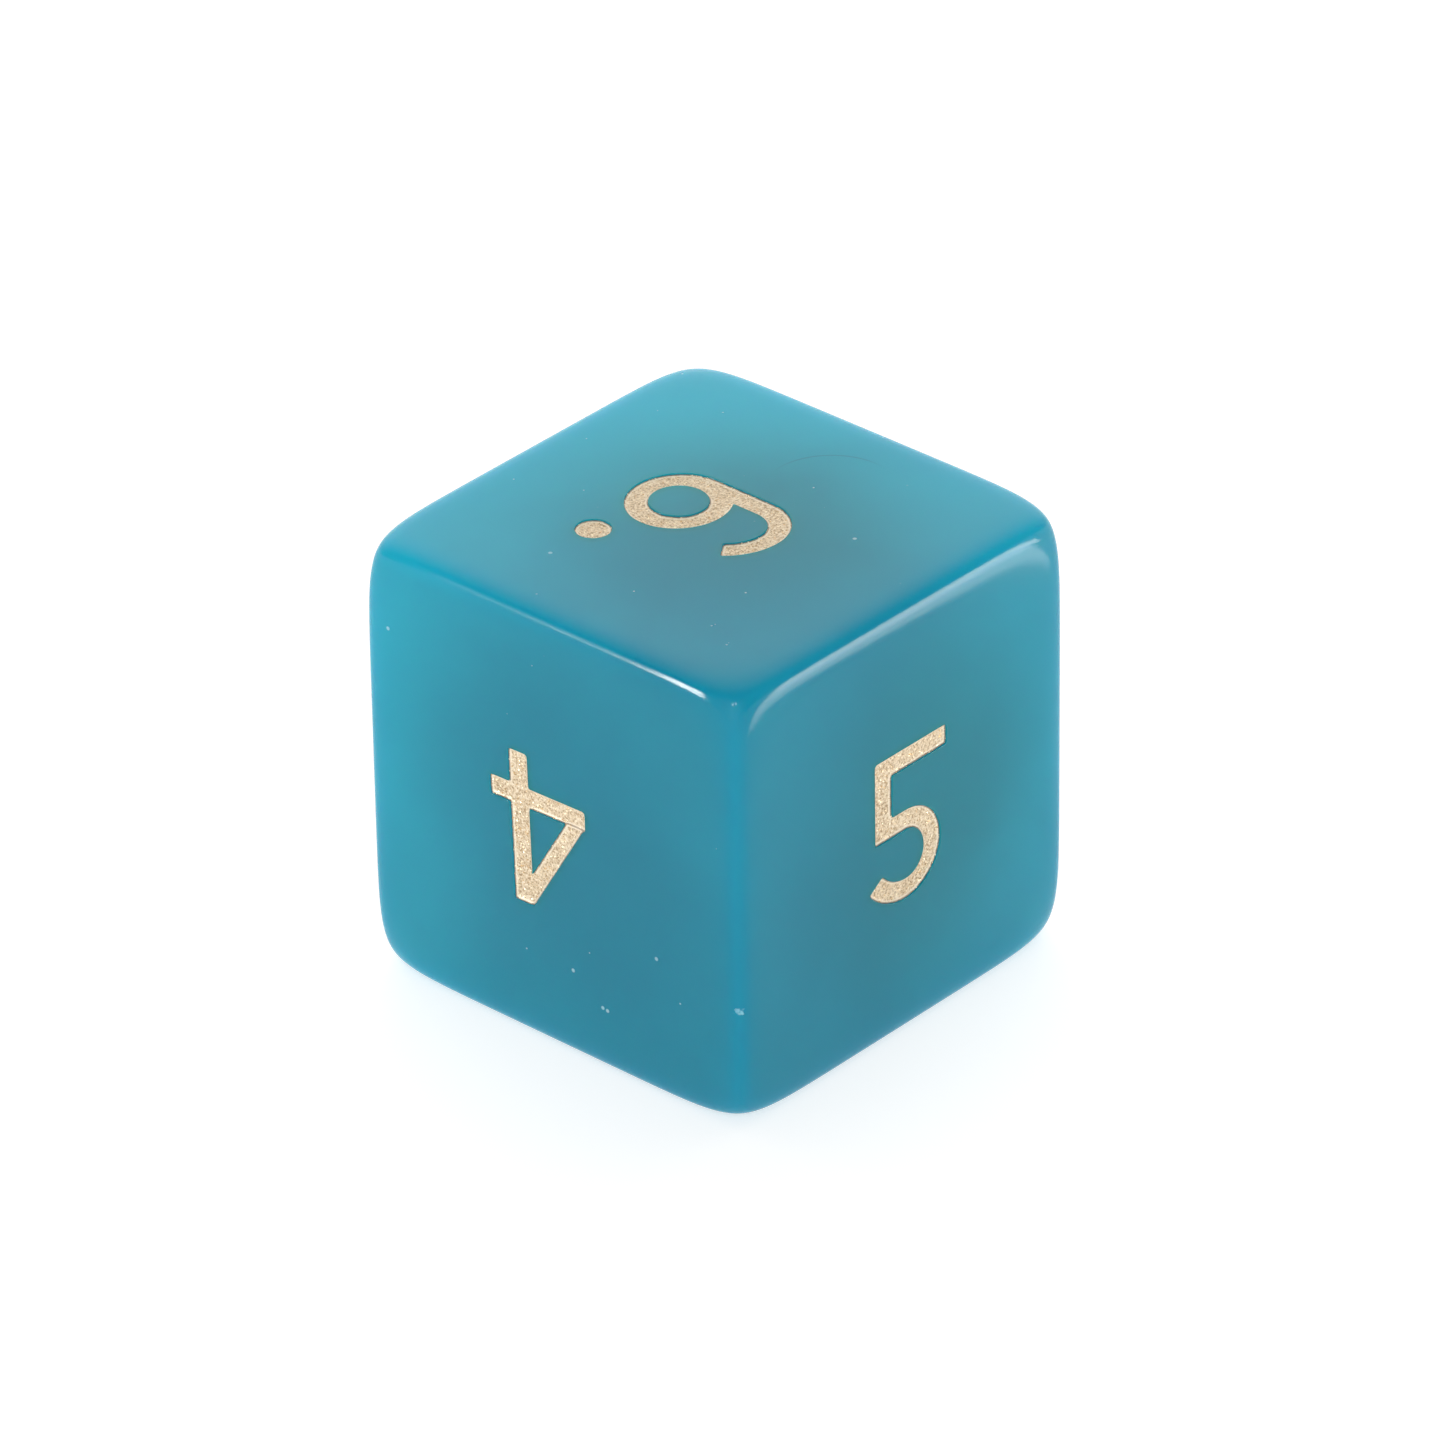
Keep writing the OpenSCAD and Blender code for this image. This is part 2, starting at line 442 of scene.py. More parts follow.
    def build(self) -> Material:
        """Build the material.

        Returns:
            The finished material.
        """
        g = ShaderGraph("cloudy_teal_glass")
        x, y, z = (one / self.half for one in g.axes(g.place))
        specks = self.specks(g)
        reach = g.distance(Vector(self.chip_middle) * self.half) / self.chip_radius
        chip = self.chip.of(reach + g.noise(self.chip_ragged_size) * self.chip_ragged)
        marks = (specks * self.speck_gain).most(chip * self.chip_gain)
        grain = g.noise(self.grain_size)
        pitted = self.pit_y.of(y) * self.pit_z.of(z) * self.pit_x.of(x)
        height = grain * (pitted * self.pit_depth + self.grain_depth) + (1 - specks) + (1 - chip) * self.chip_depth
        return g.surface({
            "Base Color": g.mix(marks, self.tint(g, x, y, z), self.mark_colour),
            "Roughness": specks.most(chip) * self.mark_roughness + grain * self.grain_roughness + self.roughness,
            "IOR": self.ior,
            "Specular IOR Level": self.mirror_level,
            "Subsurface Weight": 1.0,
            "Subsurface Radius": self.glow_radius,
            "Subsurface Scale": self.glow_scale,
            "Normal": g.bump(height, self.bump_depth),
        })


@dataclass(frozen=True)
class GoldPaint:
    """Pale gold paint with a fine grain, a painted highlight as a pale rim and a painted shade as a brown hairline
    where it meets the glass.
    """

    light: Colour = (0.73, 0.57, 0.37)
    dark: Colour = (0.34, 0.21, 0.10)
    pale: Colour = (0.93, 0.80, 0.62)
    # Colour of the painted shade: a brown hairline for the shaded wall of the cut.
    seam: Colour = (0.20, 0.12, 0.07)
    grain_size: float = 0.075 * MM
    grain_detail: float = 3.0
    grain_rough: float = 0.65
    dark_grain: Fade = Fade(0.50, 0.36, 0.9)
    pale_grain: Fade = Fade(0.52, 0.64, 0.9)
    patch_size: float = 0.7 * MM
    patch: Fade = Fade(0.55, 0.8, 0.3)
    # Painted highlight: a pale rim along the paint's edges, in place of the lit wall of the cut.
    rim: Fade = Fade(0.14, 0.34, 0.8)
    # Painted shade: where the hairline lies along the edges and how its noise breaks it up.
    painted_shade_line: Fade = Fade(0.46, 0.68)
    painted_shade_break_size: float = 0.2 * MM
    painted_shade_low: float = 0.45
    painted_shade_range: float = 0.5
    metallic: float = 0.15
    roughness: float = 0.38
    grain_roughness: float = 0.3
    bump_depth: float = 0.012 * MM

    def build(self) -> Material:
        """Build the material.

        Returns:
            The finished material.
        """
        g = ShaderGraph("pale_gold_paint")
        rim = g.wire(g.node("ShaderNodeAttribute", {"attribute_name": RIM}).outputs["Fac"])
        grain = g.noise(self.grain_size, self.grain_detail, self.grain_rough)
        painted_shade_breaks = g.noise(self.painted_shade_break_size) * self.painted_shade_range + self.painted_shade_low
        colour = self.light
        for amount, other in (
            (self.dark_grain.of(grain), self.dark),
            (self.pale_grain.of(grain), self.pale),
            (self.patch.of(g.noise(self.patch_size)), self.pale),
            # Painted highlight: pale near the edges.
            (self.rim.of(rim), self.pale),
            # Painted shade: a broken brown hairline at the very edge.
            (self.painted_shade_line.of(rim) * painted_shade_breaks, self.seam),
        ):
            colour = g.mix(amount, colour, other)
        return g.surface({
            "Base Color": colour,
            "Metallic": self.metallic,
            "Roughness": grain * self.grain_roughness + self.roughness,
            "Normal": g.bump(grain, self.bump_depth),
        })


@dataclass(frozen=True)
class MicaFlake:
    """Bright mica flakes that lie in the paint."""

    pale: Colour = (0.98, 0.86, 0.62)
    warm: Colour = (0.62, 0.38, 0.16)
    cell_size: float = 0.06 * MM
    pale_share: Fade = Fade(0.3, 0.6)
    metallic: float = 0.7
    roughness: float = 0.25
    roughness_range: float = 0.2

    def build(self) -> Material:
        """Build the material.

        Returns:
            The finished material.
        """
        g = ShaderGraph("mica_flake")
        _, chance = g.cells(self.cell_size)
        return g.surface({
            "Base Color": g.mix(self.pale_share.of(chance), self.warm, self.pale),
            "Metallic": self.metallic,
            "Roughness": chance * self.roughness_range + self.roughness,
        })


# -------------------------------------------------------------- flat geometry


def oval(centre: Point, rx: float, ry: float, start: float, stop: float, step: float = 3.0) -> Array:
    """Points along part of an oval.

    Args:
        centre: middle of the oval, in mm.
        rx: half width.
        ry: half height.
        start: first angle, in degrees.
        stop: last angle.
        step: largest turn between two points.

    Returns:
        An array of points, one per row.
    """
    count = max(2, math.ceil(abs(stop - start) / step) + 1)
    turn = np.radians(np.linspace(start, stop, count))
    return np.column_stack((centre[0] + rx * np.cos(turn), centre[1] + ry * np.sin(turn)))


def inside(points: Array, loops: Iterable[Array]) -> Array:
    """Test which points lie inside closed loops, counting a loop within a loop as a hole.

    Args:
        points: points to test, one per row.
        loops: closed outlines.

    Returns:
        True for each point inside.
    """
    odd = np.zeros(len(points), bool)
    for loop in loops:
        after = np.roll(loop, -1, axis=0)
        for (x0, y0), (x1, y1) in zip(loop, after):
            crosses = (y0 > points[:, 1]) != (y1 > points[:, 1])
            if crosses.any():
                reach = x0 + (points[:, 1] - y0) * (x1 - x0) / ((y1 - y0) or TINY)
                odd ^= crosses & (points[:, 0] < reach)
    return odd


def triangulate(points: Array, loops: Sequence[Sequence[int]]) -> Array:
    """Join points into flat triangles that keep every loop's edges.

    Args:
        points: points in mm, one per row.
        loops: closed loops of point numbers.

    Returns:
        Triangles as rows of three point numbers, anticlockwise.
    """
    edges = [(loop[i - 1], loop[i]) for loop in loops for i in range(len(loop))]
    result = delaunay_2d_cdt([Vector(p) for p in points], edges, [], CDT_ALL, CORNER_GAP)
    source = [originals[0] for originals in result[3]]
    return np.array([[source[v] for v in face] for face in result[2]])


def outline_loops(shapes: Sequence[Array]) -> list[Array]:
    """Merge overlapping shapes and return their outlines, with the filled side on the left.

    Args:
        shapes: closed anticlockwise outlines in mm.

    Returns:
        The merged outlines.
    """
    points = [Vector(p) for shape in shapes for p in shape]
    faces = [list(run) for run in runs(shapes)]
    verts, _, cells, _, _, sources = delaunay_2d_cdt(points, [], faces, CDT_INSIDE, OUTLINE_GAP)
    filled = [cell for cell, source in zip(cells, sources) if source]
    sides = {(c[i - 1], c[i]) for c in filled for i in range(len(c))}
    after = {a: b for a, b in sides if (b, a) not in sides}
    loops = []
    while after:
        start, at = after.popitem()
        loop = [start]
        while at != start:
            loop.append(at)
            at = after.pop(at)
        loops.append(np.array([verts[i][:] for i in loop]))
    return loops


def even_loop(loop: Array, spacing: float, rounds: int) -> Array:
    """Space a loop's points evenly and soften its corners.

    Args:
        loop: closed outline.
        spacing: distance between points, in mm.
        rounds: number of smoothing passes.

    Returns:
        The new outline.
    """
    closed = np.vstack((loop, loop[:1]))
    run = np.concatenate(([0.0], np.cumsum(np.linalg.norm(np.diff(closed, axis=0), axis=1))))
    count = max(FEWEST_POINTS, round(run[-1] / spacing))
    marks = np.arange(count) * run[-1] / count
    even = np.column_stack([np.interp(marks, run, closed[:, k]) for k in (0, 1)])
    for _ in range(rounds):
        even = even * 0.5 + (np.roll(even, 1, axis=0) + np.roll(even, -1, axis=0)) * 0.25
    return even


def outward(loop: Array) -> Array:
    """Find the way out of a loop at each of its points.

    Args:
        loop: closed outline with its filled side on the left.

    Returns:
        Unit vectors, one per row.
    """
    along = np.roll(loop, -1, axis=0) - np.roll(loop, 1, axis=0)
    along /= np.linalg.norm(along, axis=1)[:, None]
    return np.column_stack((along[:, 1], -along[:, 0]))


def room_outside(loop: Array, wanted: float) -> Array:
    """Limit how far each point may move outwards, so that inner corners don't fold over.

    Args:
        loop: closed outline.
        wanted: the distance to move where there is room, in mm.

    Returns:
        A distance for each point.
    """
    before, after = loop - np.roll(loop, 1, axis=0), np.roll(loop, -1, axis=0) - loop
    cross = before[:, 0] * after[:, 1] - before[:, 1] * after[:, 0]
    bend = -cross / np.linalg.norm(before, axis=1) ** 3
    room = np.minimum(wanted, BEND_SHARE / np.maximum(bend, STRAIGHT))
    for _ in range(EASE_STEPS):
        near = np.minimum(np.roll(room, 1), np.roll(room, -1))
        room = np.minimum(room, near + wanted / EASE_STEPS)
    return room


# -------------------------------------------------------------- the numerals


@dataclass(frozen=True)
class StrokeStyle:
    """Sizes in mm that the numerals share."""

    height: float = 5.55
    upright: float = 0.80
    level: float = 0.72
    hook_radius: float = 1.80
    hook_sweep: float = 53.0
    overlap: float = 0.05
    overlap_turn: float = 2.0

    @property
    def top(self) -> float:
        """Height of a numeral's top over its middle."""
        return self.height / 2

    def arc(self, centre: Point, rx: float, ry: float, start: float, stop: float) -> Array:
        """Draw a curved stroke whose middle follows an oval.

        Args:
            centre: middle of the oval.
            rx: half width.
            ry: half height.
            start: first angle, in degrees.
            stop: last angle, above the first.

        Returns:
            The stroke's outline.
        """
        u, v = self.upright / 2, self.level / 2
        outer = oval(centre, rx + u, ry + v, start, stop)
        inner = oval(centre, rx - u, ry - v, stop, start)
        return np.vstack((outer, inner))

    def box(self, left: float, low: float, right: float, high: float) -> Array:
        """Return a straight stroke between four sides."""
        return np.array([(left, low), (right, low), (right, high), (left, high)])

    def stem(self, x: float, low: float, high: float) -> Array:
        """Return an upright stroke with its middle at x."""
        return self.box(x - self.upright / 2, low, x + self.upright / 2, high)

    def bar(self, left: float, right: float, y: float) -> Array:
        """Return a level stroke with its middle at y."""
        return self.box(left, y - self.level / 2, right, y + self.level / 2)

    def open_bowl(self, centre: Point, rx: float, ry: float) -> list[Array]:
        """Draw a right-hand bowl with an open hook at its foot.

        Args:
            centre: middle of the bowl.
            rx: half width.
            ry: half height.

        Returns:
            The strokes' outlines.
        """
        r = self.hook_radius
        hook = (centre[0], centre[1] - ry + r)
        return [
            self.arc(centre, rx, ry, -90, 90),
            self.arc(hook, r, r, 270 - self.hook_sweep, 270 + self.overlap_turn),
        ]


@dataclass(frozen=True)
class Glyph:
    """Base of a numeral's outline. Sizes are in mm, from the numeral's middle."""

    style: StrokeStyle = StrokeStyle()

    def shapes(self) -> list[Array]:
        """Return the strokes as closed outlines."""
        raise NotImplementedError

    def seams(self) -> list[Array]:
        """Return the lines of points at which one stroke's paint visibly meets another's."""
        return []


@dataclass(frozen=True)
class GlyphOne(Glyph):
    """The numeral 1."""

    flag_width: float = 1.35
    flag_drop: float = 1.05
    flag_height: float = 0.85

    def shapes(self) -> list[Array]:
        """Draw the stem and its flag.

        Returns:
            Their outlines.
        """
        top = self.style.top
        tip = top - self.flag_drop
        flag = [(0, top), (-self.flag_width, tip)]
        flag += [(x, y - self.flag_height) for x, y in reversed(flag)]
        return [self.style.stem(0, -top, top), np.array(flag)]


@dataclass(frozen=True)
class GlyphTwo(Glyph):
    """The numeral 2."""

    width: float = 3.45
    bowl_width: float = 3.36

    def shapes(self) -> list[Array]:
        """Draw the bowl, its hook, the slanting stroke and the foot.

        Returns:
            Their outlines.
        """
        s = self.style
        foot = -s.top
        inner_r = self.bowl_width / 2 - s.upright
        rx, ry = inner_r + s.upright / 2, inner_r + s.level / 2
        centre = (0.0, s.top - s.level - inner_r)
        heel = (-self.width / 2, foot + s.level)
        away = (heel[0] - centre[0], heel[1] - centre[1])
        turn = math.degrees(math.atan2(away[1], away[0]) + math.acos(inner_r / math.hypot(*away)))
        inner = oval(centre, inner_r, inner_r, turn, turn)[0]
        outer = oval(centre, inner_r + s.upright, inner_r + s.level, turn, turn)[0]
        slant = (inner[0] - heel[0]) / (inner[1] - heel[1])
        toe = outer[0] - slant * (outer[1] - heel[1])
        half_foot = foot + s.level / 2
        slope = [outer, inner, heel, (heel[0], half_foot), (toe, half_foot), (toe, heel[1])]
        r = s.hook_radius
        return [
            s.arc(centre, rx, ry, turn, 90),
            s.arc((0.0, centre[1] + ry - r), r, r, 90 - s.overlap_turn, 90 + s.hook_sweep),
            np.array(slope),
            s.bar(-self.width / 2, self.width / 2, half_foot),
        ]


@dataclass(frozen=True)
class GlyphThree(Glyph):
    """The numeral 3."""

    bowl_width: float = 3.36
    bowl_height: float = 3.26
    top_width: float = 3.10
    bar_width: float = 0.45

    def shapes(self) -> list[Array]:
        """Draw the lower bowl, the upper bowl and the short bar between them.

        Returns:
            Their outlines.
        """
        s = self.style
        low_ry = (self.bowl_height - s.level) / 2
        top_ry = (s.height - self.bowl_height) / 2
        waist = self.bowl_height - s.top - s.level / 2
        upper = s.open_bowl((0.0, -waist - top_ry), (self.top_width - s.upright) / 2, top_ry)
        flipped = [(shape * (1, -1))[::-1] for shape in upper]
        lower = s.open_bowl((0.0, waist - low_ry), (self.bowl_width - s.upright) / 2, low_ry)
        return [*lower, *flipped, s.bar(-self.bar_width, s.overlap, waist)]


@dataclass(frozen=True)
class GlyphFour(Glyph):
    """The numeral 4."""

    width: float = 4.05
    bar_rise: float = 1.60
    stem_x: float = 0.78
    slant_width: float = 0.74
    slant_inset: float = 0.10
    seam_points: int = 30

    def shapes(self) -> list[Array]:
        """Draw the stem, the crossbar and the slanting stroke.

        Returns:
            Their outlines.
        """
        s = self.style
        bar_y = self.bar_rise - s.top
        left = self.slant_inset - self.width / 2
        side = self.stem_x - s.upright / 2
        shelf = bar_y + s.level / 2
        slope = [(side, s.top), (left, shelf), (left, bar_y)]
        slope += [(x + self.slant_width, y) for x, y in reversed(slope)]
        return [
            s.stem(self.stem_x, -s.top, s.top),
            s.bar(-self.width / 2, self.width / 2, bar_y),
            np.array(slope),
        ]

    def seams(self) -> list[Array]:
        """Follow the line where the slanting stroke meets the crossbar.

        Returns:
            The line's points.
        """
        shelf = self.bar_rise - self.style.top + self.style.level / 2
        left = -self.width / 2
        run = np.linspace(left, left + self.slant_width + self.slant_inset, self.seam_points)
        return [np.column_stack((run, np.full(len(run), shelf)))]


@dataclass(frozen=True)
class GlyphFive(Glyph):
    """The numeral 5."""

    bowl_width: float = 3.36
    bowl_height: float = 3.26
    stem_x: float = 1.46
    bar_x: float = 1.98

    def shapes(self) -> list[Array]:
        """Draw the bowl, the shelf over it, the stem and the top bar.

        Returns:
            Their outlines.
        """
        s = self.style
        ry = (self.bowl_height - s.level) / 2
        shelf = self.bowl_height - s.top - s.level / 2
        return [
            *s.open_bowl((0.0, shelf - ry), (self.bowl_width - s.upright) / 2, ry),
            s.bar(-self.stem_x, s.overlap, shelf),
            s.stem(s.upright / 2 - self.stem_x, shelf - s.level / 2, s.top),
            s.bar(-self.stem_x, self.bar_x, s.top - s.level / 2),
        ]


@dataclass(frozen=True)
class GlyphSix(Glyph):
    """The numeral 6."""

    height: float = 5.90
    width: float = 3.58
    bowl_height: float = 3.44

    def shapes(self) -> list[Array]:
        """Draw the closed bowl, the stem and the top hook.

        Returns:
            Their outlines.
        """
        s = self.style
        rx, ry = (self.width - s.upright) / 2, (self.bowl_height - s.level) / 2
        bowl = (0.0, (self.bowl_height - self.height) / 2)
        shoulder = (0.0, (self.height - s.level) / 2 - ry)
        r = s.hook_radius
        return [
            s.arc(bowl, rx, ry, 0, 180),
            s.arc(bowl, rx, ry, 180, 360),
            s.stem(-rx, bowl[1], shoulder[1]),
            s.arc(shoulder, rx, ry, 90, 180),
            s.arc((0.0, shoulder[1] + ry - r), r, r, 90 - s.hook_sweep, 90 + s.overlap_turn),
        ]


@dataclass(frozen=True)
class GlyphDot(Glyph):
    """The dot beside the 6."""

    six: GlyphSix = GlyphSix()
    diameter: float = 1.19
    gap: float = 0.70
    rise: float = 0.24

    def shapes(self) -> list[Array]:
        """Return the dot."""
        r = self.diameter / 2
        centre = (self.six.width / 2 + self.gap + r, self.rise + r - self.six.height / 2)
        return [oval(centre, r, r, 0, 360)[:-1]]


@dataclass(frozen=True)
class FacePlane:
    """One flat side of the die and how its numeral lies on it."""

    right: Vector
    up: Vector
    spin: float
    half: float

    @property
    def normal(self) -> Vector:
        """Direction out of the face."""
        return self.right.cross(self.up)

    def frame(self) -> Matrix:
        """Return the turn whose columns are the numeral's right and up and the face's normal."""
        turned = Matrix((self.right, self.up, self.normal)).transposed()
        return turned @ Matrix.Rotation(math.radians(self.spin), 3, "Z")

    def to_space(self, points: Array, depth: float | Array = 0.0) -> Array:
        """Place flat points in space.

        Args:
            points: points on the face, in mm.
            depth: how far below the face they lie, in mm.

        Returns:
            Points in metres.
        """
        depths = np.broadcast_to(depth, len(points))
        local = np.column_stack((points * MM, self.half - depths * MM))
        return local @ np.array(self.frame()).T

    def to_plane(self, points: Array) -> Array:
        """Return points in space as flat points on the face, in mm."""
        return (points @ np.array(self.frame()))[:, :2] / MM

    def direction(self, flat: Array, rise: float) -> Array:
        """Return directions in space with a flat part and a part along the face's normal."""
        local = np.column_stack((flat, np.full(len(flat), rise)))
        return local @ np.array(self.frame()).T


class MeshParts:
    """Points, faces and normals collected for one mesh."""

    def __init__(self) -> None:
        """Start with nothing."""
        self.points: list[Array] = []
        self.normals: list[Array] = []
        self.faces: list[Sequence[int]] = []
        self.count = 0

    def add(self, points: Array, normals: Array) -> int:
        """Add points.

        Args:
            points: the points, one per row.
            normals: their normals, or one for all.

        Returns:
            The number of the first point.
        """
        first = self.count
        self.points.append(np.asarray(points))
        self.normals.append(np.broadcast_to(normals, np.shape(points)))
        self.count += len(points)
        return first

    def band(self, first: int, second: int, size: int) -> None:
        """Join two closed rings with faces that run along the first and back along the second.

        Args:
            first: number of the first ring's first point.
            second: number of the second ring's first point.
            size: number of points in each ring.
        """
        for i in range(size):
            j = (i + 1) % size
            self.faces.append((first + i, first + j, second + j, second + i))

    def build(self, name: str, material: Material, exact: bool) -> Piece:
        """Make the mesh object.

        Args:
            name: the piece's name.
            material: its finish.
            exact: True to shade with the collected normals.

        Returns:
            The object, at the origin.
        """
        used = np.unique(np.concatenate([np.asarray(face) for face in self.faces]))
        renumbered = np.full(self.count, -1)
        renumbered[used] = np.arange(len(used))
        mesh = bpy.data.meshes.new(name)
        faces = [renumbered[list(face)].tolist() for face in self.faces]
        mesh.from_pydata(np.vstack(self.points)[used].tolist(), [], faces)
        mesh.polygons.foreach_set("use_smooth", [True] * len(mesh.polygons))
        mesh.materials.append(material)
        if exact:
            mesh.normals_split_custom_set_from_vertices(np.vstack(self.normals)[used].tolist())
        mesh.update()
        return add_object(name, mesh)


@dataclass
class CutSizes:
    """Sizes of an engraved numeral and its paint, in mm.

    The paint lies sunk below the face and climbs the wall of the cut towards its rim. Rates are in turns of the noise
    per mm, and shares and clearances are parts of the spacing between points.
    """

    depth: float = 0.25
    lip: float = 0.035
    lip_steps: int = 4
    sunk: float = 0.10
    climb: float = 0.03
    climb_width: float = 0.06
    spacing: float = 0.045
    row_share: float = 0.87
    rim_clearance: float = 0.6
    softening: int = 5
    wave: float = 0.006
    wave_rate: float = 9.0
    ragged_rate: float = 5.0
    ragged_layer: float = 3.0
    rim_fade: float = 0.06
    wall_gap: float = 0.001
    bow: float = 0.01
    bow_reach: float = 0.999


class Numeral:
    """One engraved numeral: the cut in the glass and the paint in it."""

    def __init__(self, name: str, glyph: Glyph, at: Point, plane: FacePlane, cut: CutSizes) -> None:
        """Trace the numeral's outline.

        Args:
            name: name of the paint piece.
            glyph: the numeral's shape.
            at: its middle on the face, in mm.
            plane: the face that it is cut into.
            cut: sizes of the cut.
        """
        self.name = name
        self.plane = plane
        self.cut = cut
        shapes = [shape + np.array(at) for shape in glyph.shapes()]
        self.loops = [even_loop(loop, cut.spacing, cut.softening) for loop in outline_loops(shapes)]
        self.lips = [room_outside(loop, cut.lip) for loop in self.loops]
        self.seams = [seam + np.array(at) for seam in glyph.seams()]

    def ring(self, out: float) -> list[Array]:
        """Return the outlines moved outwards by a distance in mm."""
        return [loop + outward(loop) * out for loop in self.loops]

    def carve(self, parts: MeshParts) -> list[list[int]]:
        """Add the cut's rounded lip, wall and floor to the glass.

        Args:
            parts: the glass mesh.

        Returns:
            The point numbers of the rings at which the cut meets the flat face.
        """
        cut, plane = self.cut, self.plane
        openings, floor = [], []
        for loop, lip in zip(self.loops, self.lips):
            away = outward(loop)
            rings = []
            for k in range(cut.lip_steps + 1):
                turn = math.pi / 2 * k / cut.lip_steps
                out, drop = lip * (1 - math.sin(turn)), cut.lip * (1 - math.cos(turn))
                normals = plane.direction(-away * math.sin(turn), math.cos(turn))
                rings.append(parts.add(plane.to_space(loop + away * out[:, None], drop), normals))
            rings.append(parts.add(plane.to_space(loop, cut.depth), plane.direction(-away, 0.0)))
            for upper, lower in zip(rings, rings[1:]):
                parts.band(upper, lower, len(loop))
            openings.append(list(range(rings[0], rings[0] + len(loop))))
            floor += range(rings[-1], rings[-1] + len(loop))
        self.fill(parts, np.vstack(self.loops), floor)
        return openings

    def fill(self, parts: MeshParts, flat: Array, numbers: Sequence[int], reverse: bool = False) -> None:
        """Cover the numeral's area with triangles.

        Args:
            parts: the mesh to add to.
            flat: the points' places on the face, the outlines' points first.
            numbers: the points' numbers in the mesh.
            reverse: True to face into the die.
        """
        rings = runs(self.loops)
        cells = triangulate(flat, rings)
        kept = cells[inside(flat[cells].mean(axis=1), [flat[list(ring)] for ring in rings])]
        for a, b, c in kept:
            corners = (c, b, a) if reverse else (a, b, c)
            parts.faces.append([numbers[i] for i in corners])

    def inner_points(self, rim: Array) -> Array:
        """Scatter points evenly inside the outline, clear of its rim.

        Args:
            rim: the rim's points.

        Returns:
            The scattered points, one per row.
        """
        cut = self.cut
        low, high = rim.min(axis=0), rim.max(axis=0)
        columns = np.arange(low[0], high[0], cut.spacing)
        rows = np.arange(low[1], high[1], cut.spacing * cut.row_share)
        grid = [(x + (cut.spacing / 2 if k % 2 else 0.0), y) for k, y in enumerate(rows) for x in columns]
        points = np.array(grid)
        points = points[inside(points, self.loops)]
        return points[self.rim_distance(points, rim) > cut.spacing * cut.rim_clearance]

    def rim_distance(self, points: Array, rim: Array) -> Array:
        """Return each point's distance to the nearest rim point, in mm."""
        return np.array([np.sqrt(((rim - p) ** 2).sum(axis=1).min()) for p in points])

    def ripples(self, points: Array, rate: float, layer: float) -> Array:
        """Return smooth noise at flat points, on one layer of the noise."""
        return np.array([noise.noise(Vector((x * rate, y * rate, layer))) for x, y in points])

    def paint_top(self) -> tuple[Array, Array]:
        """Shape the paint's upper surface.

        Returns:
            Its flat points with the rim's first, and their depths below the face, both in mm.
        """
        cut = self.cut
        rim = np.vstack(self.ring(-cut.wall_gap))
        field_points = self.inner_points(rim)
        away = self.rim_distance(field_points, rim)
        rise = (cut.sunk - cut.lip - cut.climb / 2) * np.exp(-((away / cut.climb_width) ** 2))
        waves = self.ripples(field_points, cut.wave_rate, cut.depth)
        ragged = self.ripples(rim, cut.ragged_rate, cut.ragged_layer)
        rim_depth = cut.lip + cut.climb / 2 + ragged * cut.climb / 2
        depths = np.concatenate((rim_depth, cut.sunk - rise + waves * cut.wave))
        return np.vstack((rim, field_points)), depths

    def paint(self, material: Material) -> Piece:
        """Make the paint as a closed mesh.

        Args:
            material: its finish.

        Returns:
            The paint's object.
        """
        cut, plane, parts = self.cut, self.plane, MeshParts()
        top, flat = self.paint_sheet(parts)
        rim = flat[: sum(map(len, self.loops))]
        base = parts.add(plane.to_space(rim, cut.depth - cut.wall_gap), -np.array(plane.normal))
        self.fill(parts, rim, range(base, base + len(rim)), reverse=True)
        for run in runs(self.loops):
            parts.band(base + run.start, top + run.start, len(run))
        piece = parts.build(self.name, material, exact=False)
        # Closeness to the edges and seams, where the paint's painted highlight rim and painted shade hairline lie.
        closeness = np.ones(parts.count)
        edges = np.vstack((rim, *self.seams))
        closeness[: len(flat)] = np.exp(-self.rim_distance(flat, edges) / cut.rim_fade)
        piece.data.attributes.new(RIM, "FLOAT", "POINT").data.foreach_set("value", closeness)
        return piece

    def paint_sheet(self, parts: MeshParts) -> tuple[int, Array]:
        """Add the paint's upper surface to a mesh.

        Args:
            parts: the mesh to add to.

        Returns:
            The number of its first point, and its flat points.
        """
        flat, depths = self.paint_top()
        top = parts.add(self.plane.to_space(flat, depths), np.array(self.plane.normal))
        self.fill(parts, flat, range(top, top + len(flat)))
        return top, flat


# ------------------------------------------------------------- geometry nodes


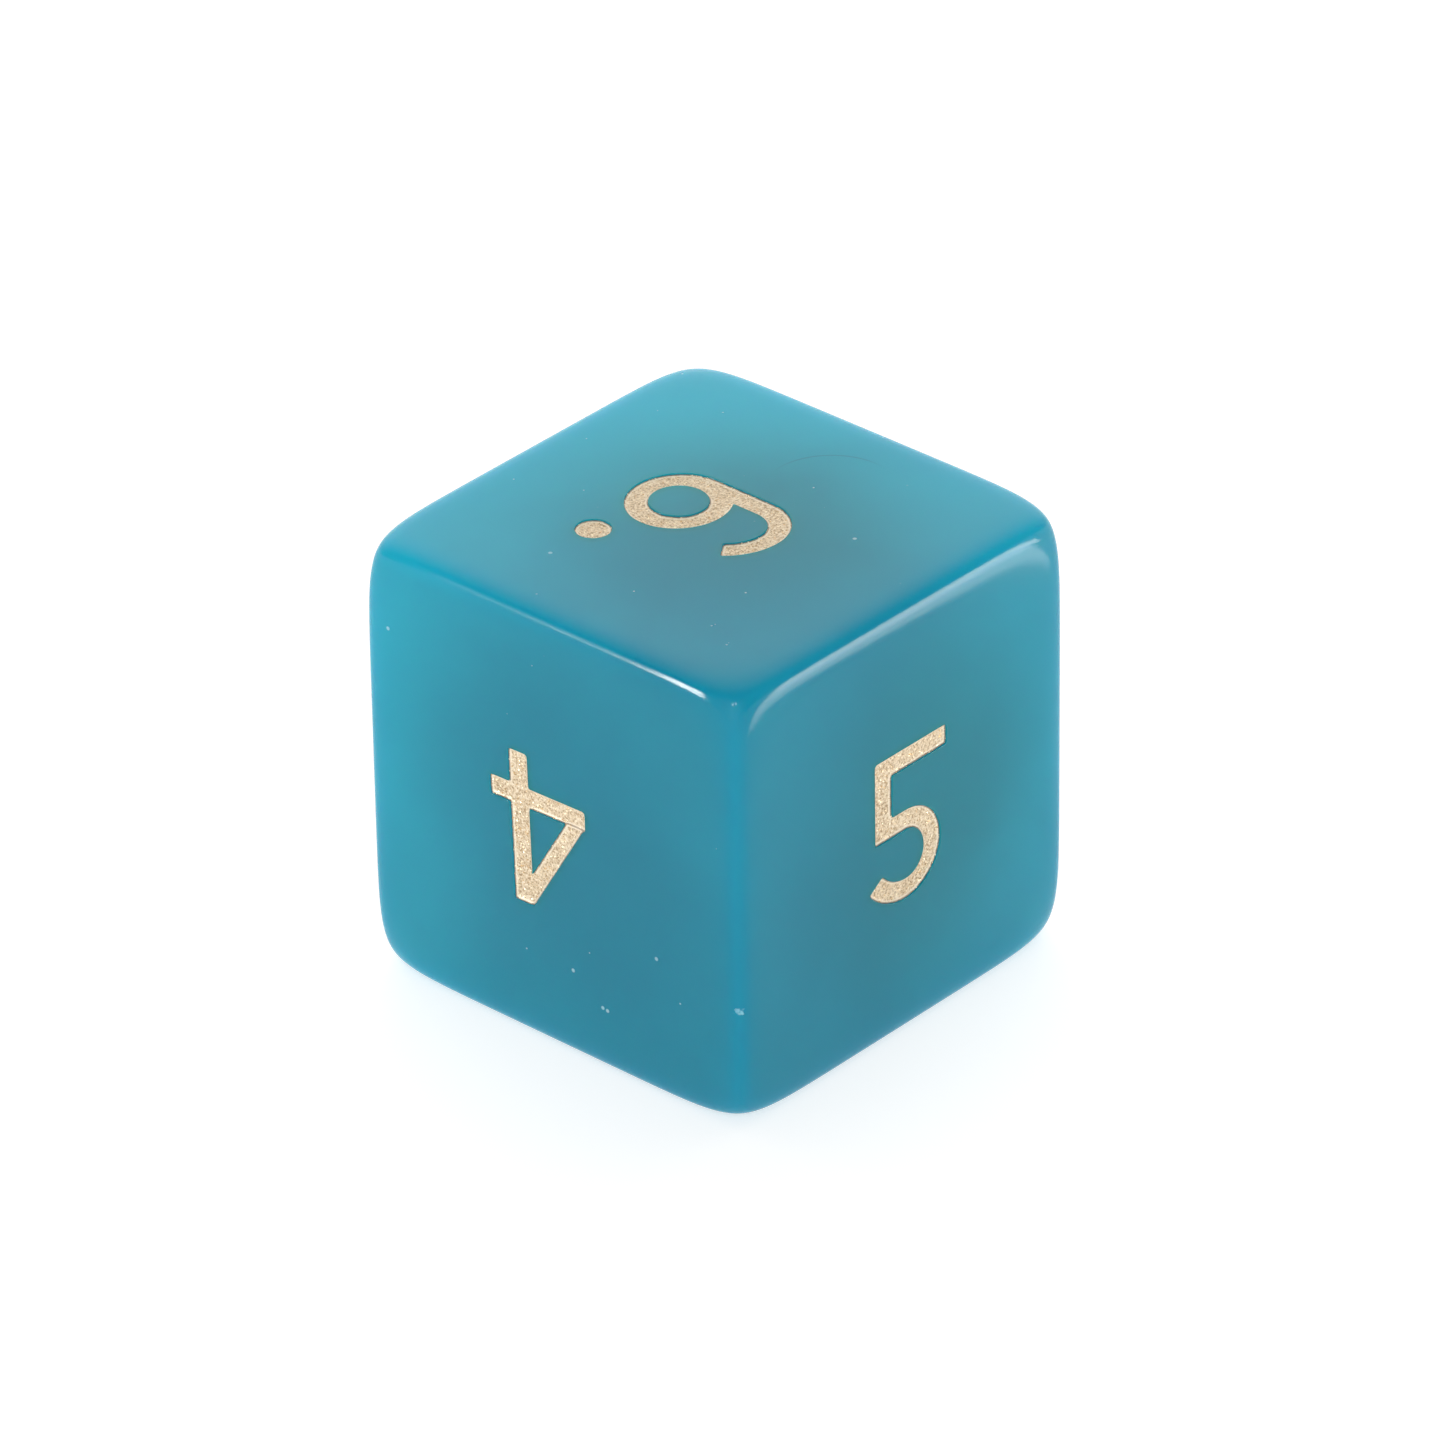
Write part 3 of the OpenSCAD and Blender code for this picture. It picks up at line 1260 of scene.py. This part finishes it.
class GeometryTree(NodeGraph):
    """A Geometry Nodes tree with named size inputs."""

    def __init__(self, name: str, sizes: dict[str, float | int]) -> None:
        """Start the tree with one input for each named size.

        Args:
            name: the tree's name.
            sizes: input name to its value; a whole number makes a whole-number input.
        """
        super().__init__(bpy.data.node_groups.new(name, "GeometryNodeTree"))
        face = self.tree.interface
        face.new_socket("Geometry", in_out="INPUT", socket_type="NodeSocketGeometry")
        face.new_socket("Geometry", in_out="OUTPUT", socket_type="NodeSocketGeometry")
        self.values = {}
        for label, value in sizes.items():
            kind = "NodeSocketInt" if isinstance(value, int) else "NodeSocketFloat"
            item = face.new_socket(label, in_out="INPUT", socket_type=kind)
            self.values[item.identifier] = value
        self.inputs = self.node("NodeGroupInput").outputs

    def size(self, label: str) -> Wire:
        """Return a named input as a number."""
        return self.wire(self.inputs[label])

    def scaled(self, vector: Socket, factor: Wire | float) -> Socket:
        """Return a vector made longer by a factor."""
        return self.node("ShaderNodeVectorMath", {"operation": "SCALE"}, {0: vector, "Scale": factor}).outputs[0]

    def close(self, shape: Socket, material: Material) -> None:
        """End the tree in real geometry.

        Args:
            shape: the shape, which may hold instances.
            material: its finish.
        """
        real = self.node("GeometryNodeRealizeInstances", {}, {0: shape}).outputs[0]
        dressed = self.node("GeometryNodeSetMaterial", {}, {"Geometry": real, "Material": material}).outputs[0]
        self.node("NodeGroupOutput", {}, {0: dressed})

    def run(self, base: Mesh, name: str) -> Mesh:
        """Apply the tree to a mesh and return the plain result.

        Args:
            base: the mesh that the tree starts from.
            name: the new mesh's name.

        Returns:
            The resulting mesh.
        """
        holder = add_object(name + "_maker", base)
        modifier = holder.modifiers.new("tree", "NODES")
        modifier.node_group = self.tree
        for identifier, value in self.values.items():
            modifier[identifier] = value
        depsgraph = bpy.context.evaluated_depsgraph_get()
        mesh = bpy.data.meshes.new_from_object(holder.evaluated_get(depsgraph))
        holder.modifiers.remove(modifier)
        bpy.data.objects.remove(holder)
        mesh.name = name
        return mesh


@dataclass
class DieBlank:
    """The tumbled cube before its numerals are cut.

    Its surface is where a smooth measure of position equals one: the sides' powers make flat faces that ease into
    soft edges, and one more power on the sum of the three distances rounds the eight corners off.
    """

    half: float
    hardness: float = 29.5
    corner_cut: float = 2.88
    segments: int = 96
    flat_reach: float = 4.9 * MM

    def mesh(self, material: Material) -> Mesh:
        """Shape the blank in Geometry Nodes.

        Args:
            material: its finish.

        Returns:
            The blank's mesh.
        """
        sizes = {
            "Half Size": self.half,
            "Hardness": self.hardness,
            "Corner Cut": self.corner_cut,
            "Segments": self.segments,
        }
        tree = GeometryTree("die_blank", sizes)
        rows = tree.size("Segments") + 1
        values = {"Size": (2.0, 2.0, 2.0), "Vertices X": rows, "Vertices Y": rows, "Vertices Z": rows}
        cube = tree.node("GeometryNodeMeshCube", {}, values).outputs["Mesh"]
        even = tree.axes(tree.node("GeometryNodeInputPosition").outputs[0])
        crowded = [(one * (math.pi / 2)).sine() for one in even]
        power, cut = tree.size("Hardness"), tree.size("Corner Cut")
        span = abs(crowded[0]) + abs(crowded[1]) + abs(crowded[2])
        total = sum((abs(one) ** power for one in crowded), (span / cut) ** power)
        scale = tree.size("Half Size") / total ** (1 / power)
        moved = tree.node("ShaderNodeCombineXYZ", {}, {k: one * scale for k, one in enumerate(crowded)}).outputs[0]
        shaped = tree.node("GeometryNodeSetPosition", {}, {0: cube, "Position": moved}).outputs[0]
        tree.close(shaped, material)
        return tree.run(bpy.data.meshes.new("blank_seed"), "blank")

    def normals(self, points: Array) -> Array:
        """Find the surface's exact outward directions.

        Args:
            points: points on the surface, one per row.

        Returns:
            Unit vectors, one per row.
        """
        size = np.abs(points) / self.half
        pull = (size.sum(axis=1, keepdims=True) / self.corner_cut) ** (self.hardness - 1) / self.corner_cut
        slope = np.sign(points) * (size ** (self.hardness - 1) + pull)
        return slope / np.linalg.norm(slope, axis=1)[:, None]


@dataclass
class MicaScatter:
    """Fine mica flakes strewn over the paint."""

    density: float = 60.0 / MM**2
    radius: float = 0.03 * MM
    lift: float = 0.002 * MM
    thickness: float = 0.002 * MM
    tilt: float = math.radians(16)
    corners: int = 6
    smallest: float = 0.5
    largest: float = 1.2
    seed: int = 11

    def build(self, sheet: Mesh, material: Material) -> Piece:
        """Strew the flakes over a sheet.

        Args:
            sheet: the paint's upper surfaces.
            material: the flakes' finish.

        Returns:
            One object with every flake.
        """
        sizes = {
            "Density": self.density,
            "Flake Radius": self.radius,
            "Lift": self.lift,
            "Tilt": self.tilt,
            "Thickness": self.thickness,
            "Corners": self.corners,
            "Seed": self.seed,
        }
        tree = GeometryTree("mica_scatter", sizes)
        seed, tilt = tree.size("Seed"), tree.size("Tilt")
        values = {"Mesh": tree.inputs["Geometry"], "Density": tree.size("Density"), "Seed": seed}
        strewn = tree.node("GeometryNodeDistributePointsOnFaces", {}, values).outputs
        offset = tree.scaled(strewn["Normal"], tree.size("Lift"))
        raised = tree.node("GeometryNodeSetPosition", {}, {"Geometry": strewn["Points"], "Offset": offset}).outputs[0]
        reach = tree.node("ShaderNodeCombineXYZ", {}, {0: tilt, 1: tilt, 2: math.pi}).outputs[0]
        spread = {"Min": tree.scaled(reach, -1.0), "Max": reach, "Seed": seed}
        lean = tree.node("FunctionNodeRandomValue", {"data_type": "FLOAT_VECTOR"}, spread).outputs[0]
        turn = {"Rotation": strewn["Rotation"], "Rotate By": lean}
        turned = tree.node("FunctionNodeRotateRotation", {"rotation_space": "LOCAL"}, turn).outputs[0]
        corners, radius, depth = (tree.size(label) for label in ("Corners", "Flake Radius", "Thickness"))
        disc = {"Vertices": corners, "Radius": radius, "Depth": depth}
        flake = tree.node("GeometryNodeMeshCylinder", {"fill_type": "NGON"}, disc).outputs[0]
        spread = {FLOAT_MIN: self.smallest, FLOAT_MAX: self.largest, "Seed": seed + 1}
        growth = tree.node("FunctionNodeRandomValue", {"data_type": "FLOAT"}, spread).outputs[1]
        strew = {"Points": raised, "Instance": flake, "Rotation": turned, "Scale": growth}
        tree.close(tree.node("GeometryNodeInstanceOnPoints", {}, strew).outputs[0], material)
        return add_object("paint_mica", tree.run(sheet, "paint_mica"))


# ------------------------------------------------------------------- the die


class Die:
    """The whole die: one glass body and its numerals."""

    def __init__(self) -> None:
        """Take the size of the die from the frame and lay out its numerals."""
        low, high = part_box("die_body")
        self.half = (high.x - low.x) / 2
        self.blank = DieBlank(self.half)
        self.cut = CutSizes()
        x, y, z = Vector((1, 0, 0)), Vector((0, 1, 0)), Vector((0, 0, 1))
        self.planes = {
            1: FacePlane(x, -y, 0, self.half),
            2: FacePlane(-y, z, -90, self.half),
            3: FacePlane(-x, z, 90, self.half),
            4: FacePlane(x, z, 181.6, self.half),
            5: FacePlane(y, z, 0, self.half),
            6: FacePlane(x, y, -90, self.half),
        }
        layout = [
            ("numeral_1", GlyphOne(), (0.25, -0.10), 1),
            ("numeral_2", GlyphTwo(), (0.10, -0.12), 2),
            ("numeral_3", GlyphThree(), (-0.05, -0.14), 3),
            ("numeral_4", GlyphFour(), (0.47, 0.17), 4),
            ("numeral_5", GlyphFive(), (0.02, -0.14), 5),
            ("numeral_6", GlyphSix(), (-0.21, -0.44), 6),
            ("numeral_6_dot", GlyphDot(), (-0.21, -0.44), 6),
        ]
        self.numerals = [
            (Numeral(f"{name}_gold", glyph, at, self.planes[side], self.cut), f"{name}_paint", side)
            for name, glyph, at, side in layout
        ]

    def build_glass(self) -> Piece:
        """Build the glass body with its cuts.

        Returns:
            The body's object.
        """
        material = CloudyGlass(self.half).build()
        blank = self.blank.mesh(material)
        points = np.array([v.co[:] for v in blank.vertices])
        normals = self.blank.normals(points)
        parts = MeshParts()
        parts.add(points, normals)
        polygons = [list(polygon.vertices) for polygon in blank.polygons]
        bpy.data.meshes.remove(blank)
        for side, plane in self.planes.items():
            axis = np.array(plane.normal)
            height = points @ axis
            sideways = np.abs(points - np.outer(height, axis)).max(axis=1)
            flat = (sideways < self.blank.flat_reach) & (height > 0)
            points[flat] += np.outer(self.half - points[flat] @ axis, axis)
            normals[flat] = axis
            removed = [polygon for polygon in polygons if flat[polygon].all()]
            polygons = [polygon for polygon in polygons if not flat[polygon].all()]
            border = self.border_of(removed)
            self.bow(points, border, axis)
            rings = [ring for numeral, _, face in self.numerals if face == side for ring in numeral.carve(parts)]
            self.close_flat(parts, plane, border, rings)
        parts.faces += polygons
        return parts.build("die_glass", material, exact=True)

    def border_of(self, polygons: list[list[int]]) -> Array:
        """Return the point numbers on the border of a patch of polygons."""
        sides = {(p[i - 1], p[i]) for p in polygons for i in range(len(p))}
        return np.array([a for a, b in sides if (b, a) not in sides])

    def bow(self, points: Array, border: Array, axis: Array) -> None:
        """Bow a flat's straight borders outwards by a hair, so that no three of their points are in line.

        Args:
            points: the blank's points, changed in place.
            border: point numbers on the flat's border.
            axis: the face's direction.
        """
        across = np.flatnonzero(np.abs(axis) < 0.5)
        reach = np.abs(points[border][:, across]).max()
        for one, other in (across, across[::-1]):
            far = border[np.abs(points[border, one]) > reach * self.cut.bow_reach]
            bulge = self.cut.bow * MM * (1 - (points[far, other] / reach) ** 2)
            points[far, one] = np.sign(points[far, one]) * (reach + bulge)

    def close_flat(self, parts: MeshParts, plane: FacePlane, border: Array, rings: list[list[int]]) -> None:
        """Cover a flat face round its numerals.

        Args:
            parts: the glass mesh.
            plane: the face.
            border: point numbers on the flat's border, in any order.
            rings: point numbers of each numeral's opening.
        """
        points = np.vstack(parts.points)
        flat = plane.to_plane(points[border])
        order = np.argsort(np.arctan2(flat[:, 1], flat[:, 0]))
        numbers = [*border[order], *(i for ring in rings for i in ring)]
        places = plane.to_plane(points[numbers])
        loops = runs([border, *rings])
        cells = triangulate(places, loops)
        hollow = inside(places[cells].mean(axis=1), [places[list(loop)] for loop in loops[1:]])
        for a, b, c in cells[~hollow]:
            parts.faces.append((numbers[a], numbers[b], numbers[c]))

    def build_paint(self) -> list[tuple[Piece, str]]:
        """Build each numeral's paint and return it with the CAD node it stands for."""
        material = GoldPaint().build()
        return [(numeral.paint(material), node) for numeral, node, _ in self.numerals]

    def build_mica(self) -> Piece:
        """Build the mica flakes over every numeral.

        Returns:
            One object with every flake.
        """
        material = MicaFlake().build()
        parts = MeshParts()
        for numeral, _, _ in self.numerals:
            numeral.paint_sheet(parts)
        sheet = bpy.data.meshes.new("mica_sheet")
        sheet.from_pydata(np.vstack(parts.points).tolist(), [], parts.faces)
        return MicaScatter().build(sheet, material)


# ---------------------------------------------------------------- the studio


class LightUse(Enum):
    """What a light does to the surfaces that it reaches."""

    ALL = "lights and shines"
    GLINT = "shines only"


@dataclass(frozen=True)
class AreaLight:
    """Base of a rectangular light of even brightness."""

    name: str
    radiance: float

    def hang(self, width: float, height: float, at: Vector, turn: Euler, use: LightUse) -> None:
        """Hang the light.

        Args:
            width: its width, in metres.
            height: its height, in metres.
            at: where its middle is.
            turn: the turn from facing down.
            use: what it does.
        """
        light = bpy.data.lights.new(self.name, "AREA")
        light.shape = "RECTANGLE"
        light.size, light.size_y = width, height
        light.energy = self.radiance * math.pi * width * height
        holder = add_object(self.name, light)
        holder.location, holder.rotation_euler = at, turn
        holder.visible_diffuse = use is LightUse.ALL


@dataclass(frozen=True)
class Softbox(AreaLight):
    """A light that stands off from the die and faces it."""

    use: LightUse
    azimuth: float
    elevation: float
    distance: float
    width: float
    height: float

    def build(self) -> None:
        """Hang the light so that it faces the die."""
        at = aim(self.azimuth, self.elevation) * self.distance
        self.hang(self.width, self.height, at, at.to_track_quat("Z", "Y").to_euler(), self.use)


@dataclass(frozen=True)
class Panel(AreaLight):
    """A light that lies on the floor beside the die, shines upwards and only makes highlights."""

    azimuth: float
    near: float
    far: float
    width: float
    lift: float = 0.5 * MM

    def build(self, floor: float) -> None:
        """Lay the light just above the floor.

        Args:
            floor: the floor's height.
        """
        at = aim(self.azimuth, 0) * ((self.near + self.far) / 2) + Vector((0, 0, floor + self.lift))
        turn = Euler((math.pi, 0, math.radians(self.azimuth)))
        self.hang(self.far - self.near, self.width, at, turn, LightUse.GLINT)


@dataclass(frozen=True)
class Glow:
    """A bright patch of the surroundings."""

    towards: Point3
    start: float
    gain: float


@dataclass(frozen=True)
class Viewpoint:
    """Where the camera stands, in degrees and in half sides of the die."""

    azimuth: float = 42.046
    elevation: float = 30.956
    roll: float = -0.877
    distance: float = 42.824
    focal: float = 7.377
    slide: float = 0.022
    lift: float = 0.0531
    nearest: float = 0.01
    farthest: float = 10.0

    def build(self, half: float) -> None:
        """Set up the camera.

        Args:
            half: half the die's side, in metres.
        """
        back = aim(self.azimuth - 90, self.elevation)
        level = aim(self.azimuth, 0)
        rise = back.cross(level)
        r = math.radians(self.roll)
        right = level * math.cos(r) + rise * math.sin(r)
        up = rise * math.cos(r) - level * math.sin(r)
        data = bpy.data.cameras.new("camera")
        data.sensor_width = SENSOR_WIDTH
        data.lens = self.focal * SENSOR_WIDTH
        data.clip_start, data.clip_end = self.nearest, self.farthest
        camera = add_object("camera", data)
        turned = Matrix((right, up, back)).transposed().to_4x4()
        at = (back * self.distance + right * self.slide + up * self.lift) * half
        camera.matrix_world = Matrix.Translation(at) @ turned
        bpy.context.scene.camera = camera


@dataclass(frozen=True)
class Studio:
    """Floor, surroundings, lights and camera."""

    half: float
    floor_size: float = 3.0
    floor_gap: float = 0.02 * MM
    floor_colour: Colour = (0.62, 0.62, 0.62)
    floor_roughness: float = 0.9
    floor_glow: float = 0.60
    ambient: float = 0.38
    glows: tuple[Glow, ...] = (Glow((-0.574, 0.637, 0.515), 0.4, 2.0), Glow((0.61, -0.785, 0.1), 0.5, 2.3))
    panels: tuple[Panel, ...] = (
        Panel("right_panel_far", 8.0, azimuth=37, near=0.054, far=0.20, width=0.030),
        Panel("right_panel_middle", 6.0, azimuth=32, near=0.044, far=0.054, width=0.028),
        Panel("right_panel_near", 3.6, azimuth=31, near=0.035, far=0.044, width=0.028),
    )
    softboxes: tuple[Softbox, ...] = (
        Softbox(
            "left_front_softbox", 36.0, LightUse.GLINT,
            azimuth=242.1, elevation=13.5, distance=0.60, width=0.13, height=0.23,
        ),
        Softbox(
            "front_softbox", 6.0, LightUse.ALL,
            azimuth=-41, elevation=39, distance=0.70, width=0.22, height=0.12,
        ),
    )

    def build_floor(self) -> None:
        """Lay the pale floor under the die."""
        s, z = self.floor_size, -self.half - self.floor_gap
        mesh = bpy.data.meshes.new("floor")
        mesh.from_pydata([(-s, -s, z), (s, -s, z), (s, s, z), (-s, s, z)], [], [(0, 1, 2, 3)])
        finish = {
            "Base Color": (*self.floor_colour, 1.0),
            "Roughness": self.floor_roughness,
            "Emission Color": WHITE,
            "Emission Strength": self.floor_glow,
        }
        mesh.materials.append(ShaderGraph("pale_floor").surface(finish))
        add_object("floor", mesh)

    def build_surroundings(self) -> None:
        """Surround the die with a soft glow behind it, which fades towards the sides, the ceiling and the front."""
        world = bpy.data.worlds.new("studio")
        world.use_nodes = True
        bpy.context.scene.world = world
        g = NodeGraph(world.node_tree)
        direction = g.node("ShaderNodeTexCoord").outputs["Generated"]
        strength = self.ambient
        for glow in self.glows:
            dot = g.node("ShaderNodeVectorMath", {"operation": "DOT_PRODUCT"}, {0: direction, 1: glow.towards})
            strength = (g.wire(dot.outputs["Value"]) - glow.start).most(0.0) * glow.gain + strength
        background = g.node("ShaderNodeBackground", {}, {"Color": WHITE, "Strength": strength})
        g.node("ShaderNodeOutputWorld", {}, {"Surface": background.outputs[0]})

    def build(self) -> None:
        """Build the whole studio."""
        self.build_floor()
        self.build_surroundings()
        for panel in self.panels:
            panel.build(-self.half)
        for box in self.softboxes:
            box.build()
        Viewpoint().build(self.half)
        bpy.context.scene.view_settings.view_transform = "Standard"


# ---------------------------------------------------------------------- main


def place(piece: Piece, slot: str, *nodes: str) -> None:
    """Hand one finished piece to the frame.

    Args:
        piece: the piece.
        slot: the record's material slot, which is not used here.
        nodes: CAD nodes that it stands for.
    """
    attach(piece, BODY)
    if nodes:
        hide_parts(*nodes)
    LOG.info("%s: %d faces", piece.name, len(piece.data.polygons))


def main() -> None:
    """Build the studio and the die, and report each piece."""
    logging.basicConfig(level=logging.INFO, format="%(message)s")
    die = Die()
    Studio(die.half).build()
    place(die.build_glass(), "stone", "die_body")
    for piece, node in die.build_paint():
        place(piece, "paint", node)
    place(die.build_mica(), "paint")


if __name__ == "__main__":
    main()
